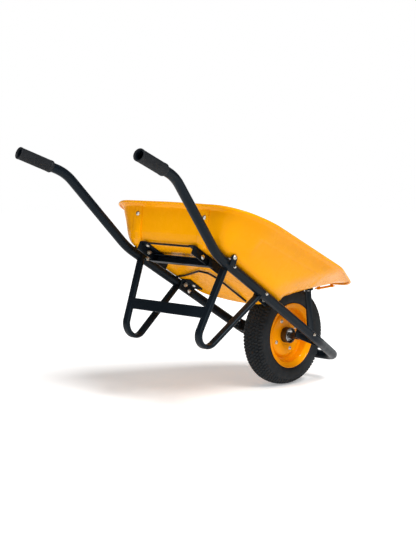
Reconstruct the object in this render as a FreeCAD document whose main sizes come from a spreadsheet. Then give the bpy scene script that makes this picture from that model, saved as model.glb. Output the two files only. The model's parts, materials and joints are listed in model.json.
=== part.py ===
import FreeCAD, Part
import math
import os

# A steel wheelbarrow standing on its wheel and two legs.
# +X points to the wheel end, +Y to the left, +Z up, and the floor is z = 0.
# Outlines are written from the axle (x = 0) and shifted by axle_x, so that
# the origin lies on the floor under the middle of the whole barrow.

Vector = FreeCAD.Vector
ALONG_X = Vector(1, 0, 0)
ALONG_Y = Vector(0, 1, 0)
ALONG_Z = Vector(0, 0, 1)
SIDES = (("left", 1), ("right", -1))

doc = FreeCAD.newDocument("Wheelbarrow")
sheet = doc.addObject("Spreadsheet::Sheet", "Sizes")

DIMENSIONS = {
    "axle_x": 456.4,
    "wheel_radius": 180,
    "tube_radius": 16,
    "tube_wall": 2,
    "grip_radius": 20.5,
    "grip_length": 128,
    "rail_slope": 0.1837,
    "plate": 5,
    "pan_sheet": 2.5,
    "pan_bead": 4,
    "flare_height": 13,
    "rim_height": 431,
    "leg_width": 30,
    "leg_thickness": 15,
    "brace_height": 37,
    "bolt_radius": 4,
    "head_radius": 8,
    "head_height": 5,
    "axle_radius": 8,
    "axle_length": 300,
    "running_gap": 0.05,
    "hub_radius": 28,
    "hub_half": 38,
    "bearing_radius": 22,
    "bearing_width": 14,
    "spacer_radius": 11.5,
    "bracket_y": 128,
    "rim_sheet": 2.5,
    "flange_radius": 115,
    "seat_radius": 100,
    "rim_half": 41,
    "disc_bolt_circle": 56,
    "rod_radius": 3.5,
}
for row, (alias, value) in enumerate(DIMENSIONS.items(), start=1):
    sheet.set("A%d" % row, alias)
    sheet.set("B%d" % row, str(value))
    sheet.setAlias("B%d" % row, alias)
doc.recompute()

subparts = []


def size(alias):
    return float(sheet.get(alias))


def at(x, y, z):
    """A point given from the axle, in the barrow's own frame."""
    return Vector(size("axle_x") + x, y, z)


def bind(obj, **expressions):
    for name, text in expressions.items():
        for alias in DIMENSIONS:
            text = text.replace("<" + alias + ">", "Sizes." + alias)
        obj.setExpression(name, text)
    return obj


def subpart(obj, label):
    obj.Label = label
    subparts.append(obj)
    return obj


def facing(direction):
    return FreeCAD.Rotation(ALONG_Z, direction)


def framed(direction):
    """The turn that points +Z along direction and keeps +Y as near to +Y as it can."""
    return FreeCAD.Rotation(Vector(), ALONG_Y, direction, "ZYX")


def cylinder(name, start, direction, radius, height):
    """A round bar from start; radius and height are sheet expressions."""
    bar = doc.addObject("Part::Cylinder", name)
    bind(bar, Radius=radius, Height=height)
    bar.Placement = FreeCAD.Placement(start, facing(direction))
    return bar


def box(name, corner, length, width, height, rotation=FreeCAD.Rotation()):
    block = doc.addObject("Part::Box", name)
    bind(block, Length=length, Width=width, Height=height)
    block.Placement = FreeCAD.Placement(corner, rotation)
    return block


def hexagon(name, start, direction, radius, height):
    nut = doc.addObject("Part::Prism", name)
    nut.Polygon = 6
    bind(nut, Circumradius=radius, Height=height)
    nut.Placement = FreeCAD.Placement(start, facing(direction))
    return nut


def fused(name, pieces):
    joined = doc.addObject("Part::MultiFuse", name)
    joined.Shapes = pieces
    return joined


def compound(name, pieces):
    group = doc.addObject("Part::Compound", name)
    group.Links = pieces
    return group


def cut(name, base, tool):
    rest = doc.addObject("Part::Cut", name)
    rest.Base = base
    rest.Tool = tool
    return rest


def feature(name, shape):
    obj = doc.addObject("Part::Feature", name)
    obj.Shape = shape
    return obj


def rounded_wire(points, radii, closed=False):
    """Straight runs joined by tangent arcs; each corner has its own radius."""
    count = len(points)
    corners = range(count) if closed else range(1, count - 1)
    entry = {}
    exit_ = {}
    middle = {}
    for i in corners:
        corner = points[i]
        back = (points[i - 1] - corner).normalize()
        ahead = (points[(i + 1) % count] - corner).normalize()
        half = back.getAngle(ahead) / 2
        reach = radii[i] / math.tan(half)
        bisector = (back + ahead).normalize()
        entry[i] = corner + back * reach
        exit_[i] = corner + ahead * reach
        middle[i] = corner + bisector * (radii[i] / math.sin(half) - radii[i])
    edges = []
    last = count if closed else count - 1
    for i in range(last):
        j = (i + 1) % count
        edges.append(Part.LineSegment(exit_.get(i, points[i]), entry.get(j, points[j])).toShape())
        if j in entry:
            edges.append(Part.Arc(entry[j], middle[j], exit_[j]).toShape())
    return Part.Wire(edges)


def swept(name, spine, section, start, direction):
    """A solid swept along a spine; section is a profile drawn about the origin."""
    path = feature(name + "_path", spine)
    profile = feature(name + "_section", section)
    profile.Placement = FreeCAD.Placement(start, framed(direction))
    sweep = doc.addObject("Part::Sweep", name)
    sweep.Spine = (path, [])
    sweep.Sections = [profile]
    sweep.Solid = True
    sweep.Transition = "Transformed"
    return sweep


def ring_section(radius):
    return Part.Wire(Part.Circle(Vector(), ALONG_Z, radius).toShape())


def mirrored(points):
    """Half an outline, from the rear middle round the left side, closed on the right."""
    return list(points) + [Vector(p.x, -p.y, p.z) for p in reversed(points[1:-1])]


# ---- main tube: both handles and the loop round the wheel in one piece ----

tube_half = [
    at(-1134, 283, 447),
    at(-956, 257.5, 446),
    at(-649, 213.6, 290),
    at(-12, 175, 173),
    at(214, 88, 162.4),
]
tube_points = tube_half + [Vector(p.x, -p.y, p.z) for p in reversed(tube_half)]
tube_radii = [0, 150, 220, 200, 67, 67, 200, 220, 150, 0]
tube_start = tube_points[0]
tube_direction = tube_points[1] - tube_points[0]
tube_line = rounded_wire(tube_points, tube_radii)
tube_outer = swept("tube_outer", tube_line, ring_section(size("tube_radius")), tube_start, tube_direction)
tube_bore = swept("tube_bore", tube_line, ring_section(size("tube_radius") - size("tube_wall")),
                  tube_start, tube_direction)


def rail_point(x):
    """Centre of the left rail beside the pan, at a distance x from the axle."""
    share = (x + 649) / (649 - 12)
    return at(x, 213.6 + (175 - 213.6) * share, 290 + (173 - 290) * share)


def pan_floor(x):
    """Height of the underside of the pan's floor: it lies on the two rails."""
    lean = math.sqrt(1 + size("rail_slope") ** 2)
    return 290 + size("tube_radius") * lean - size("rail_slope") * (x + 649) + 0.3


FLOOR_NORMAL = Vector(size("rail_slope"), 0, 1).normalize()
FLOOR_TILT = FreeCAD.Rotation(ALONG_Z, FLOOR_NORMAL)

# ---- grips: ribbed sleeves with an open end and a collar ----


def grip(label, side):
    direction = Vector(tube_half[1] - tube_half[0])
    direction.y *= side
    direction.normalize()
    start = Vector(tube_half[0].x, side * tube_half[0].y, tube_half[0].z) - direction * 6
    sleeve = cylinder(label + "_sleeve", start, direction, "<grip_radius> - 1.5", "<grip_length>")
    collar = cylinder(label + "_collar", start + direction * (size("grip_length") - 9), direction,
                      "<grip_radius>", "9")
    lip = cylinder(label + "_lip", start, direction, "<grip_radius>", "7")
    ribs = []
    for step in range(24):
        angle = 2 * math.pi * step / 24
        spoke = facing(direction).multVec(Vector(math.cos(angle), math.sin(angle), 0))
        centre = start + spoke * (size("grip_radius") - 1.6)
        ribs.append(cylinder("%s_rib_%d" % (label, step), centre, direction, "1.5", "<grip_length>"))
    body = fused(label + "_body", [sleeve, collar, lip] + ribs)
    bore = cylinder(label + "_bore", start - direction, direction, "<tube_radius>", "<grip_length> + 2")
    return subpart(cut(label + "_part", body, bore), label)


for side_name, side in SIDES:
    grip("grip_" + side_name, side)

# ---- fasteners: every bolt is a domed head, a shank and a hexagon nut ----

bolt_groups = {}


def bolt(group, seat, direction, grip_length, head_radius="<head_radius>"):
    """A bolt whose head sits at seat and whose shank runs along direction."""
    direction = Vector(direction).normalize()
    number = len(bolt_groups.setdefault(group, []))
    name = "%s_%d" % (group, number)
    head = cylinder(name + "_head", seat - direction * size("head_height"), direction,
                    head_radius, "<head_height>")
    shank = cylinder(name + "_shank", seat - direction, direction, "<bolt_radius>", "%g" % (grip_length + 9))
    nut = hexagon(name + "_nut", seat + direction * grip_length, direction, "<head_radius> - 0.5", "6.5")
    bolt_groups[group].append(fused(name, [head, shank, nut]))
    return bolt_groups[group][-1]


RIVET = "<bolt_radius> + 1"
leg_holes = []
for x in (-570, -376):
    centre = rail_point(x)
    for side_name, side in SIDES:
        seat = Vector(centre.x, side * (centre.y + size("tube_radius")), centre.z + 2)
        leg_holes.append(bolt("leg_bolts", seat, Vector(0, -side, 0), 2 * size("tube_radius") + 9, RIVET))

# ---- legs: a flattened tube bent to a U, its ends flattened on the rails ----


def stadium(width, thickness):
    """Flattened tube section, centred on the origin, rounded at its short ends."""
    flat = (width - thickness) / 2
    half = thickness / 2
    a, b = Vector(half, -flat, 0), Vector(half, flat, 0)
    c, d = Vector(-half, flat, 0), Vector(-half, -flat, 0)
    return Part.Wire([
        Part.LineSegment(a, b).toShape(),
        Part.Arc(b, Vector(0, flat + half, 0), c).toShape(),
        Part.LineSegment(c, d).toShape(),
        Part.Arc(d, Vector(0, -flat - half, 0), a).toShape(),
    ])


def leg_side(z):
    """The legs lean in towards the floor."""
    return 168 + 0.115 * z


leg_tubes = []
leg_parts = []
leg_plan = [(-586, 290), (-600, 8.4), (-534, 8.4), (-372, 264)]
leg_radii = [0, 42, 42, 0]
for side_name, side in SIDES:
    points = [at(x, side * leg_side(z), z) for x, z in leg_plan]
    spine = rounded_wire(points, leg_radii)
    direction = points[1] - points[0]
    label = "leg_" + side_name
    bent = swept(label + "_tube", spine, stadium(size("leg_width"), size("leg_thickness")),
                 points[0], direction)
    leg_tubes.append(bent)
    leg_parts.append((label, cut(label + "_trim", bent, tube_outer)))

# ---- brace between the rear arms of the legs ----

brace_low = 92
brace_reach = leg_side(brace_low) + 5
brace = box("brace_plate", at(-602, -brace_reach, brace_low), "6", "%g" % (2 * brace_reach),
            "<brace_height>")
subpart(cut("brace_coped", brace, compound("brace_tools", leg_tubes)), "leg_brace")

# ---- pan: pressed tray on the rails, with a rolled rim ----

PAN_RADII_TOP = [900, 95, 240, 240, 85, 300]
PAN_RADII_RIM = [900, 122, 260, 260, 110, 400]
PAN_RADII_ARCH = [900, 78, 270, 220, 70, 260]
PAN_RADII_FOOT = [900, 60, 300, 200, 60, 300]
PAN_RADII_FOLD = [900, 55, 300, 100, 50, 300]
PAN_RADII_FLOOR = [900, 45, 300, 80, 40, 300]

rim_plan = [(-718, 0), (-710, 292), (-556, 330), (-60, 243), (162, 126), (173, 0)]
top_plan = [(-700, 0), (-693, 274), (-548, 309), (-62, 222), (112, 110), (116, 0)]
arch_plan = [(-689, 0), (-685, 252), (-544, 269), (-218, 222), (-95, 156), (-122, 0)]
foot_plan = [(-680, 0), (-678, 234), (-540, 236), (-345, 222), (-258, 194), (-196, 0)]
fold_plan = [(-670, 0), (-668, 224), (-540, 226), (-345, 212), (-264, 186), (-203, 0)]
floor_plan = [(-654, 0), (-652, 206), (-540, 207), (-345, 194), (-272, 176), (-214, 0)]


def rim_level(x):
    return size("rim_height") - 0.01 * x


def arch_level(x):
    """The level at which the front wall bends to pass over the tyre."""
    return 332 - 0.0836 * (x + 122)


def doubled(radii):
    return radii + radii[-2:0:-1]


def shrunk(points, distance):
    """The outline moved in by distance, in plan."""
    count = len(points)
    moved = []
    for i, point in enumerate(points):
        back = Vector(point - points[i - 1])
        ahead = Vector(points[(i + 1) % count] - point)
        normals = [Vector(-d.y, d.x, 0).normalize() for d in (back, ahead)]
        bisector = (normals[0] + normals[1]).normalize()
        moved.append(point - bisector * (distance / bisector.dot(normals[0])))
    return moved


def lifted(plan, level, inset=0):
    """A closed outline from half a plan, moved in by inset and set at its level."""
    flat = shrunk(mirrored([Vector(x, y, 0) for x, y in plan]), inset)
    return [at(p.x, p.y, level(p.x)) for p in flat]


pan_levels = [
    (floor_plan, PAN_RADII_FLOOR, lambda x: pan_floor(x)),
    (fold_plan, PAN_RADII_FOLD, lambda x: pan_floor(x) + 10),
    (foot_plan, PAN_RADII_FOOT, lambda x: pan_floor(x) + 30),
    (arch_plan, PAN_RADII_ARCH, arch_level),
    (top_plan, PAN_RADII_TOP, lambda x: rim_level(x) - size("flare_height")),
    (rim_plan, PAN_RADII_RIM, lambda x: rim_level(x)),
]


def pan_solid(name, inset, rise, overshoot):
    sections = []
    for number, (plan, radii, level) in enumerate(pan_levels):
        lift = rise if number == 0 else 0
        top = overshoot if number == len(pan_levels) - 1 else 0
        points = lifted(plan, lambda x: level(x) + lift + top, inset)
        wire = rounded_wire(points, doubled(radii), closed=True)
        sections.append(feature("%s_%d" % (name, number), wire))
    loft = doc.addObject("Part::Loft", name)
    loft.Sections = sections
    loft.Solid = True
    loft.Ruled = True
    return loft


pan_outer = pan_solid("pan_outer", 0, 0, 0)
pan_inner = pan_solid("pan_inner", size("pan_sheet"), size("pan_sheet"), 8)
pan_shell = cut("pan_shell", pan_outer, pan_inner)
bead_points = lifted(rim_plan, lambda x: rim_level(x) - size("pan_bead") + 0.5, 3)
bead_line = rounded_wire(bead_points, doubled(PAN_RADII_RIM), closed=True)
bead_start = bead_line.Vertexes[0].Point
bead_direction = bead_line.Edges[0].tangentAt(bead_line.Edges[0].FirstParameter)
pan_bead = swept("pan_bead", bead_line, ring_section(size("pan_bead")), bead_start, bead_direction)
pan_body = fused("pan_body", [pan_shell, pan_bead])
pan_holes = []

# ---- rear stays: straps in the pan's colour, down the rear wall and under it ----


def flat_section(width, thickness):
    a, b = Vector(-thickness / 2, -width / 2, 0), Vector(thickness / 2, -width / 2, 0)
    c, d = Vector(thickness / 2, width / 2, 0), Vector(-thickness / 2, width / 2, 0)
    return Part.makePolygon([a, b, c, d, a])


stay_line = [(-695.7, 157, 426), (-680.7, 154, 341), (-670.2, 152.5, 318.6), (-656, 151, 306.4)]
for side_name, side in SIDES:
    label = "rear_stay_" + side_name
    points = [at(x, side * y, z) for x, y, z in stay_line]
    strap = swept(label + "_strap", rounded_wire(points, [0, 25, 12, 0]), flat_section(38, 4),
                  points[0], points[1] - points[0])
    hole = bolt("stay_bolts", at(-693.4, side * 156.5, 400.3), Vector(1, 0, 0.18), 6.6)
    pan_holes.append(hole)
    subpart(cut(label, strap, compound(label + "_tools", [hole, pan_outer])), label)

# ---- rear cross-member: a channel between the rails, under the pan ----

rear_cross_x = -603
cross_depth = 25
cross_top = pan_floor(rear_cross_x + 26) - 4.8
rear_channel = box("rear_channel", at(rear_cross_x, -142, cross_top - cross_depth), "26", "284",
                   "%g" % cross_depth)
rear_hollow = box("rear_hollow", at(rear_cross_x - 1, -139, cross_top - cross_depth + 3), "24", "278",
                  "%g" % (cross_depth - 6))
rear_member = cut("rear_member", rear_channel, rear_hollow)

# ---- seat straps: angle brackets under the pan, from its rear edge to the cross-member ----

seat_tools = []
for side_name, side in SIDES:
    label = "seat_strap_" + side_name
    corner_y = 100 if side > 0 else -130
    web_y = 126 if side > 0 else -130
    top = at(-674, corner_y, pan_floor(-674) - 0.4) - FLOOR_NORMAL * 4
    plate = box(label + "_plate", top, "152", "30", "4", FLOOR_TILT)
    web_corner = at(-674, web_y, pan_floor(-674) - 0.4) - FLOOR_NORMAL * 30
    web = box(label + "_web", web_corner, "152", "4", "30", FLOOR_TILT)
    floor_hole = bolt("strap_bolts", at(-650, side * 113, pan_floor(-650) - 0.4) - FLOOR_NORMAL * 4,
                      FLOOR_NORMAL, 6.75)
    web_hole = bolt("strap_bolts", at(-627, side * 131, pan_floor(-627) - 17), Vector(0, -side, 0), 6)
    pan_holes.append(floor_hole)
    angle = cut(label + "_angle", fused(label + "_bent", [plate, web]),
                compound(label + "_holes", [floor_hole, web_hole]))
    subpart(cut(label, angle, rear_member), label)
subpart(cut("rear_member_part", rear_member, compound("rear_member_tools", bolt_groups["strap_bolts"])),
        "rear_cross_member")

tie_z = pan_floor(-668) - 3
subpart(cylinder("tie_rod", at(-668, -100, tie_z), ALONG_Y, "<rod_radius>", "200"), "rear_tie_rod")

# ---- pan lugs: round-topped ears on the rails, bolted to the pan's lower edge ----

for side_name, side in SIDES:
    label = "pan_lug_" + side_name
    foot = rail_point(-589)
    ear = cylinder(label + "_ear", at(-589, side * 229, 301), Vector(0, side, 0), "12", "<plate>")
    inner_y = 229 if side > 0 else -229 - size("plate")
    post = box(label + "_post", at(-601, inner_y, foot.z - 4), "24", "<plate>", "%g" % (305 - foot.z))
    bridge_y = foot.y if side > 0 else -229
    bridge = box(label + "_bridge", at(-601, bridge_y, foot.z - 4), "24", "%g" % (229 - foot.y), "8")
    hole = bolt("lug_bolts", at(-589, side * (229 + size("plate")), 304), Vector(0, -side, 0), 21)
    pan_holes.append(hole)
    lug = cut(label + "_coped", fused(label + "_joined", [ear, post, bridge]), tube_outer)
    subpart(cut(label, lug, compound(label + "_tools", [hole, pan_outer] + leg_holes)), label)

# ---- front tabs: angles between the rails and the front of the pan's floor ----

for side_name, side in SIDES:
    label = "front_tab_" + side_name
    top = at(-392, side * 138 if side > 0 else -180, pan_floor(-392) - 0.4) - FLOOR_NORMAL * 4
    flange = box(label + "_flange", top, "72", "42", "4", FLOOR_TILT)
    web_y = 175 if side > 0 else -180
    web = box(label + "_web", at(-392, web_y, pan_floor(-392) - 0.4) - FLOOR_NORMAL * 37, "72", "5", "37",
              FLOOR_TILT)
    floor_hole = bolt("tab_bolts", at(-350, side * 155, pan_floor(-350) - 0.4) - FLOOR_NORMAL * 4,
                      FLOOR_NORMAL, 6.6)
    web_hole = bolt("tab_bolts", at(-346, side * 175, pan_floor(-346) - 24), Vector(0, side, 0), 5)
    pan_holes.append(floor_hole)
    leg_holes.append(web_hole)
    joined = fused(label + "_joined", [flange, web])
    tools = [tube_outer, floor_hole, web_hole] + leg_tubes + leg_holes[:4]
    subpart(cut(label, joined, compound(label + "_tools", tools)), label)

# ---- bent rod under the pan, from the left rail to the front edge of the floor ----

rod_plan = [(-408, 198), (-430, 131), (-480, 18), (-470, -18), (-430, -32), (-262, -24)]
rod_drop = size("rod_radius") + 0.1
rod_points = [at(x, y, pan_floor(x) - rod_drop) for x, y in rod_plan]
rod_line = rounded_wire(rod_points, [0, 60, 14, 14, 40, 0])
rod = swept("rod_sweep", rod_line, ring_section(size("rod_radius")), rod_points[0],
            rod_points[1] - rod_points[0])
subpart(cut("rod_part", rod, tube_outer), "underbody_rod")

# ---- axle, its spacers and nuts, and the brackets on the rails ----

axle_height = size("wheel_radius")
axle = cylinder("axle_bar", at(0, -150, axle_height), ALONG_Y, "<axle_radius>", "<axle_length>")
subpart(axle, "axle")


def collar(name, y, side, radius, width, hexed=False):
    """A ring on the axle, its inner face at distance y from the middle."""
    make = hexagon if hexed else cylinder
    start = at(0, side * y, axle_height)
    ring = make(name + "_ring", start, Vector(0, side, 0), radius, "%g" % width)
    bore = cylinder(name + "_bore", start - Vector(0, side, 0), Vector(0, side, 0), "<axle_radius>",
                    "%g" % (width + 2))
    return cut(name, ring, bore)


for label, y, radius, width, hexed in (
        ("axle_spacers", 32.5, "<spacer_radius>", 47.5, False),
        ("axle_sleeves", 80, "<spacer_radius> - 0.5", 32, False),
        ("axle_inner_nuts", 112, "14", 12, True),
        ("axle_washers", 124.2, "15", 3.6, False),
        ("axle_outer_nuts", 139.4, "13.5", 10, True)):
    pair = [collar("%s_%s" % (label, side_name), y, side, radius, width, hexed) for side_name, side in SIDES]
    subpart(compound(label + "_pair", pair), label)

axle_hole = cylinder("axle_hole", at(0, -160, axle_height), ALONG_Y, "<axle_radius> + 0.1", "320")
rivet_holes = []
for side_name, side in SIDES:
    label = "axle_bracket_" + side_name
    inner = size("bracket_y") + 6.2
    low_y = inner if side > 0 else -inner - size("plate")
    plate = box(label + "_plate", at(-92, low_y, axle_height - 20), "117", "<plate>", "40")
    round_end = cylinder(label + "_end", at(25, side * inner, axle_height), Vector(0, side, 0), "20", "<plate>")
    tab = box(label + "_tab", at(-92, inner if side > 0 else -inner - 40, axle_height - 2), "64", "40", "6")
    coped = cut(label + "_coped", fused(label + "_joined", [plate, round_end, tab]), tube_outer)
    rail = rail_point(-62)
    outside = Vector(rail.x, side * (rail.y + size("tube_radius")), rail.z + 1)
    hole = bolt("rail_bolts", outside, Vector(0, -side, 0), 2 * size("tube_radius") + 1, RIVET)
    rivet_holes.append(hole)
    subpart(cut(label, coped, compound(label + "_holes", [hole, axle_hole])), label)

# ---- struts from the axle up to the front wall of the pan ----

strut_lean = math.atan2(83, 163)
strut_direction = Vector(-math.sin(strut_lean), 0, math.cos(strut_lean))
strut_turn = FreeCAD.Rotation(ALONG_Z, strut_direction)
wall_normal = Vector(-0.371, 0, 0.928).normalize()
for side_name, side in SIDES:
    label = "strut_" + side_name
    low_y = size("bracket_y") if side > 0 else -size("bracket_y") - 6
    foot = at(0, low_y, axle_height) - strut_turn.multVec(Vector(14, 0, 0))
    bar = box(label + "_bar", foot, "28", "6", "200", strut_turn)
    eye = cylinder(label + "_eye", at(0, side * size("bracket_y"), axle_height), Vector(0, side, 0), "18", "6")
    seat = at(-84, side * 131, 344)
    pad = cylinder(label + "_pad", seat - wall_normal * 9, wall_normal, "19", "14")
    hole = bolt("strut_bolts", seat - wall_normal * 9, wall_normal, 16)
    pan_holes.append(hole)
    joined = fused(label + "_joined", [bar, eye, pad])
    trimmed = cut(label + "_trimmed", joined, pan_outer)
    subpart(cut(label, trimmed, compound(label + "_holes", [hole, axle_hole])), label)

# ---- nose braces under the pouring lip ----

for side_name, side in SIDES:
    label = "nose_brace_" + side_name
    points = [at(22, side * 84, 367), at(106, side * 84, 403)]
    strip = swept(label + "_strip", rounded_wire(points, [0, 0]), flat_section(22, 4), points[0],
                  points[1] - points[0])
    clips = [cylinder("%s_clip_%d" % (label, number), point - wall_normal * 5, wall_normal, "6", "24")
             for number, point in enumerate((at(30, side * 84, 371), at(100, side * 84, 401)))]
    subpart(cut(label, fused(label + "_joined", [strip] + clips), pan_outer), label)

# ---- the pan and the main tube, with all their holes ----

subpart(cut("pan_part", pan_body, compound("pan_holes", pan_holes)), "pan")
tube = cut("tube_hollow", tube_outer, tube_bore)
subpart(cut("tube_part", tube, compound("tube_holes", leg_holes + rivet_holes)), "frame_tube")
for label, trimmed in leg_parts:
    subpart(cut(label + "_part", trimmed, compound(label + "_tools", [pan_outer] + leg_holes)), label)

# ---- wheel ----


def revolved(label, outline):
    """A PartDesign body turned about the axle; outline is (radius, offset along Y)."""
    body = doc.addObject("PartDesign::Body", label + "_body")
    plane = [f for f in body.Origin.OriginFeatures if f.Role == "YZ_Plane"][0]
    sketch = body.newObject("Sketcher::SketchObject", label + "_outline")
    sketch.AttachmentSupport = (plane, [""])
    sketch.MapMode = "FlatFace"
    count = len(outline)
    vectors = [Vector(offset, radius, 0) for radius, offset in outline]
    for i in range(count):
        sketch.addGeometry(Part.LineSegment(vectors[i], vectors[(i + 1) % count]), False)
    turn = body.newObject("PartDesign::Revolution", label + "_turn")
    turn.Profile = sketch
    turn.ReferenceAxis = (sketch, ["H_Axis"])
    turn.Angle = 360
    body.Tip = turn
    body.Placement = FreeCAD.Placement(at(0, 0, axle_height), FreeCAD.Rotation())
    return body


def both_sides(half):
    return half + [(radius, -offset) for radius, offset in reversed(half)]


sheet_mm = size("rim_sheet")
bead_seat = size("seat_radius")
disc_face = 12.5
hub_radius = size("hub_radius")
rim_half_outline = [
    (hub_radius, disc_face), (72.5, disc_face), (84, sheet_mm), (bead_seat - sheet_mm, sheet_mm),
    (bead_seat - sheet_mm, 35), (size("flange_radius") - 3, 40), (size("flange_radius"), size("rim_half") + 2),
    (size("flange_radius") + 2, size("rim_half")), (bead_seat, 33.5), (bead_seat, 0), (83, 0),
    (72, disc_face - sheet_mm), (hub_radius, disc_face - sheet_mm),
]
disc_bolts = []
for step in range(4):
    angle = math.radians(45 + 90 * step)
    reach = size("disc_bolt_circle")
    seat_point = at(reach * math.cos(angle), -disc_face, axle_height + reach * math.sin(angle))
    disc_bolts.append(bolt("rim_bolts", seat_point, ALONG_Y, 2 * disc_face))
valve_angle = math.radians(125)
valve_axis = Vector(math.cos(valve_angle), 0, math.sin(valve_angle))
valve_foot = at(0, -19, axle_height) + valve_axis * 116
valve_hole = cylinder("valve_hole", valve_foot, -valve_axis, "4", "22")
for side_name, side in SIDES:
    label = "rim_" + side_name
    outline = [(radius, side * offset) for radius, offset in rim_half_outline]
    disc = revolved(label, outline)
    subpart(cut(label, disc, compound(label + "_holes", disc_bolts + [valve_hole])), label)

hub_outline = both_sides([(12, 17.5), (size("bearing_radius"), 17.5), (size("bearing_radius"), 31.5),
                          (24, 31.5), (24, size("hub_half")), (hub_radius, size("hub_half"))])
subpart(revolved("hub", hub_outline), "hub")

for side_name, side in SIDES:
    name = "bearing_" + side_name
    start = at(0, side * 17.5, axle_height)
    ring = cylinder(name + "_ring", start, Vector(0, side, 0), "<bearing_radius>", "<bearing_width>")
    bore = cylinder(name + "_bore", start - Vector(0, side, 0), Vector(0, side, 0),
                    "<axle_radius> + <running_gap>", "<bearing_width> + 2")
    subpart(cut(name, ring, bore), name)

tyre_outer = [(117.6, 40.6), (128, 45.5), (142, 47), (157, 45.5), (168, 40), (175, 29), (178.8, 14)]
tyre_inner = [(172, 14), (168, 26), (160, 35), (142, 39), (126, 37), (112, 31), (100, 24)]
tyre_half = tyre_inner + [(100, 33)] + tyre_outer
tyre_outline = tyre_half + [(size("wheel_radius"), 0)] + [(r, -y) for r, y in reversed(tyre_half)] + [(173, 0)]
subpart(revolved("tyre", tyre_outline), "tyre")

tube_ring = doc.addObject("Part::Torus", "inner_ring")
bind(tube_ring, Radius1="137.5", Radius2="31")
tube_ring.Placement = FreeCAD.Placement(at(0, 0, axle_height), facing(ALONG_Y))
tube_air = doc.addObject("Part::Torus", "inner_air")
bind(tube_air, Radius1="137.5", Radius2="29")
tube_air.Placement = tube_ring.Placement
inner_tube = cut("inner_tube_part", tube_ring, tube_air)
stem = cylinder("stem", valve_foot, -valve_axis, "4", "39.5")
stem_part = cut("stem_part", stem, tube_ring)
subpart(inner_tube, "inner_tube")
subpart(stem_part, "valve_stem")
subpart(cylinder("cap", valve_foot - valve_axis * 39.5, -valve_axis, "5", "9"), "valve_cap")

for group, bolts in bolt_groups.items():
    subpart(compound(group + "_set", bolts), group)

# ---- checks and export ----

doc.recompute()
failed = [o.Name for o in doc.Objects if "Invalid" in o.State or "Error" in o.State]
if failed:
    raise RuntimeError("features failed: %s" % ", ".join(failed))
whole = FreeCAD.BoundBox()
os.makedirs("parts", exist_ok=True)
for obj in subparts:
    shape = obj.Shape
    if shape.isNull() or not shape.isValid():
        raise RuntimeError("bad shape: " + obj.Label)
    whole.add(shape.BoundBox)
    shape.exportStep("parts/%s.step" % obj.Label)
    print(obj.Label, len(shape.Solids), "solids", round(shape.Volume / 1000, 1), "cm3")
print("box", whole)
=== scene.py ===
import json
import math

import bmesh
import bpy
import numpy as np
from mathutils import Matrix, Vector


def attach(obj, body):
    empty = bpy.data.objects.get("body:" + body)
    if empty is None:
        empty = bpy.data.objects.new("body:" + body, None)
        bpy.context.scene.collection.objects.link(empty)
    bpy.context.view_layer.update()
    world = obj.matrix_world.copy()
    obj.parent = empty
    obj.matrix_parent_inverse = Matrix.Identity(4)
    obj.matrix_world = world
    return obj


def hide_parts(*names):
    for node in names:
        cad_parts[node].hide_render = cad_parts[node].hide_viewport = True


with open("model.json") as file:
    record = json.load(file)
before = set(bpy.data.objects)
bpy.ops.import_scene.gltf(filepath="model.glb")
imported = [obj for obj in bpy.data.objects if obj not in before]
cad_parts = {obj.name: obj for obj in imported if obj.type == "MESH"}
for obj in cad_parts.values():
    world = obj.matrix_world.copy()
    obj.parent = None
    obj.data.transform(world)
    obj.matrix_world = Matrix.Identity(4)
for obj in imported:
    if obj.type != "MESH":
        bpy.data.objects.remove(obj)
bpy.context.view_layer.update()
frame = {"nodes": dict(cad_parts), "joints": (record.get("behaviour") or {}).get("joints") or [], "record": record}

# A steel wheelbarrow. Outlines are in millimetres from the axle, as in the CAD
# source, and P() turns them into metres in the row's frame.

AXLE = Vector(frame["joints"][0]["pos_m"])
SIDES = (("left", 1), ("right", -1))
MM = 0.001


def P(x, y, z):
    return Vector((AXLE.x + x * MM, y * MM, z * MM))


# ---------------------------------------------------------------- materials


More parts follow.
